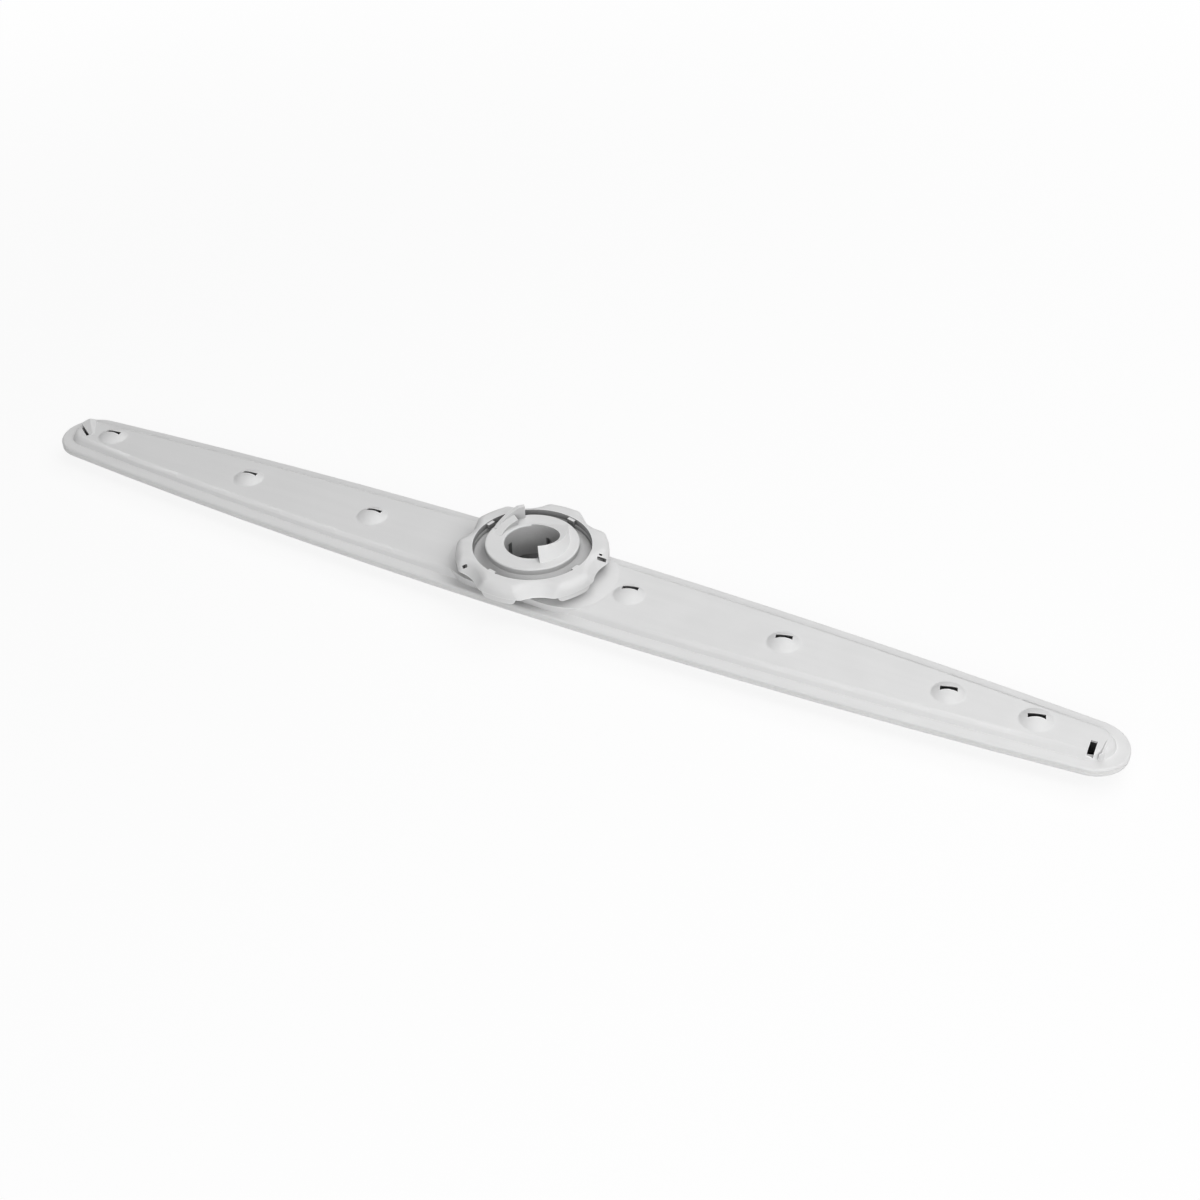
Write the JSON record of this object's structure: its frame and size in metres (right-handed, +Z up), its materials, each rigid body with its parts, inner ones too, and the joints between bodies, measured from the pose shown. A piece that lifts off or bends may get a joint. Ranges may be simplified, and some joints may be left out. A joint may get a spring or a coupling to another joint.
{
  "type": "dishwasher spray arm",
  "caption": "Long tapered dishwasher spray arm with a flat welded rim, domed slit nozzles, a lobed retaining ring and a free-turning bayonet hub with a feed bore.",
  "frame": {"origin": "on the hub axis, at the surface that the arm lies on", "axes": "+Z up along the hub axis, +X along the arm to the end whose drive slot faces -Y"},
  "size_m": [0.459, 0.0586, 0.0284],
  "materials": {
    "shell_plastic": "satin moulded",
    "ring_plastic": "satin moulded",
    "hub_plastic": "satin moulded"
  },
  "bodies": {
    "arm": {"upper_shell": "shell_plastic", "lower_shell": "shell_plastic", "retaining_ring": "ring_plastic"},
    "hub": {"bearing_hub": "hub_plastic"}
  },
  "joints": [
    {"name": "hub_spin", "type": "hinge", "parent": "arm", "child": "hub", "pos_m": [0, 0, 0.016], "axis": [0, 0, 1], "continuous": true}
  ]
}
